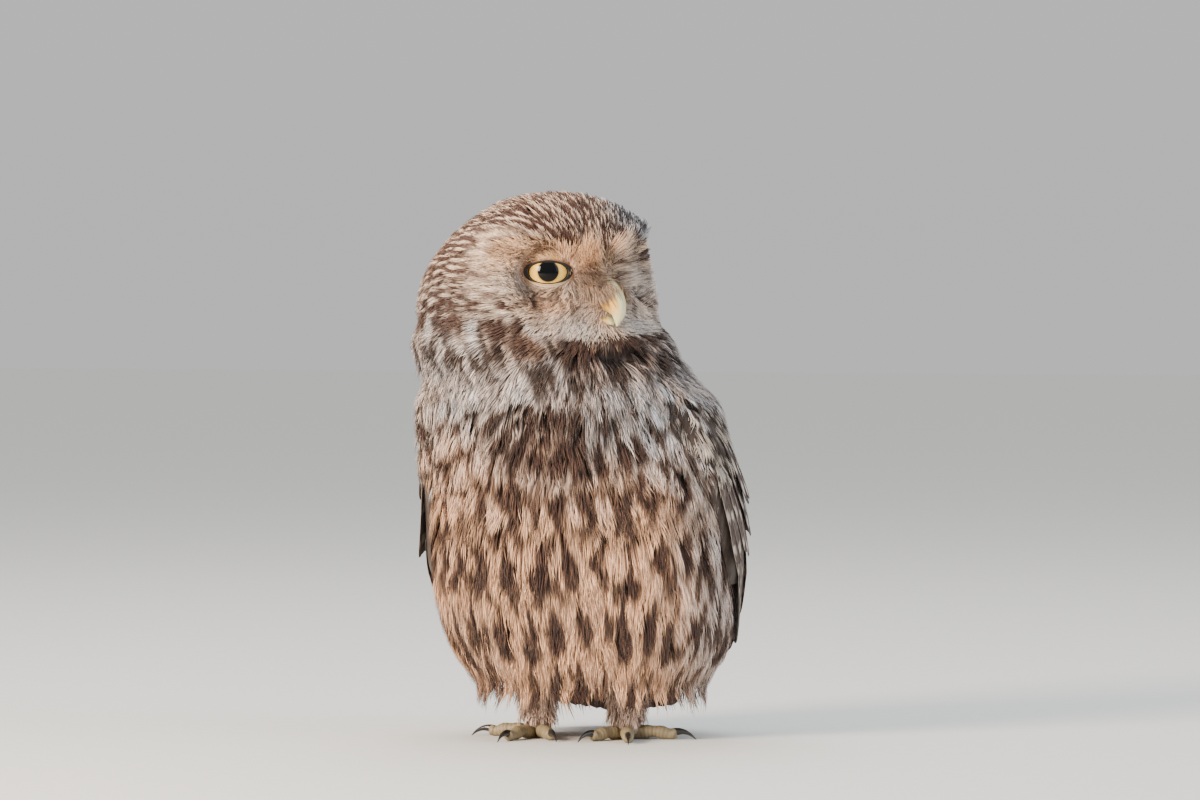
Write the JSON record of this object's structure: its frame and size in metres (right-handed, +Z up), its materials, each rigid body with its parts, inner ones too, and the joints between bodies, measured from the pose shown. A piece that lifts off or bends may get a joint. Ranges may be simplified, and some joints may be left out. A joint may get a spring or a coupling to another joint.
{
  "type": "little owl",
  "caption": "Life-size model of a little owl standing upright on the ground, feathers fluffed and head turned to its own left.",
  "frame": {"origin": "middle of the owl's bounding box, on the level its toes rest on", "axes": "+Z up, the breast faces -Y, the owl's own left is +X; the head faces its own left, between +X and -Y"},
  "size_m": [0.1274, 0.1276, 0.2015],
  "materials": {
    "breast_plumage": "soft ruffled feathers, cream with brown drop streaks",
    "crown_plumage": "short dense feathers, brown with cream streaks",
    "back_plumage": "overlapping vanes, brown with round white spots",
    "leg_plumage": "short cream down",
    "eye": "wet, pale yellow iris round a black pupil",
    "bill": "smooth horn, orange-yellow to pale cream",
    "toe": "bristly skin, pale olive grey",
    "claw": "dark horn, half gloss"
  },
  "bodies": {
    "root": {"head": "crown_plumage", "neck": "breast_plumage", "torso": "breast_plumage", "tail": "back_plumage", "bill_upper": "bill", "bill_lower": "bill", "eye_left": "eye", "wing_left": "back_plumage", "leg_left": "leg_plumage", "toe_left_inner": "toe", "claw_left_inner": "claw", "toe_left_middle": "toe", "claw_left_middle": "claw", "toe_left_outer": "toe", "claw_left_outer": "claw", "toe_left_hind": "toe", "claw_left_hind": "claw", "eye_right": "eye", "wing_right": "back_plumage", "leg_right": "leg_plumage", "toe_right_inner": "toe", "claw_right_inner": "claw", "toe_right_middle": "toe", "claw_right_middle": "claw", "toe_right_outer": "toe", "claw_right_outer": "claw", "toe_right_hind": "toe", "claw_right_hind": "claw"}
  },
  "joints": []
}
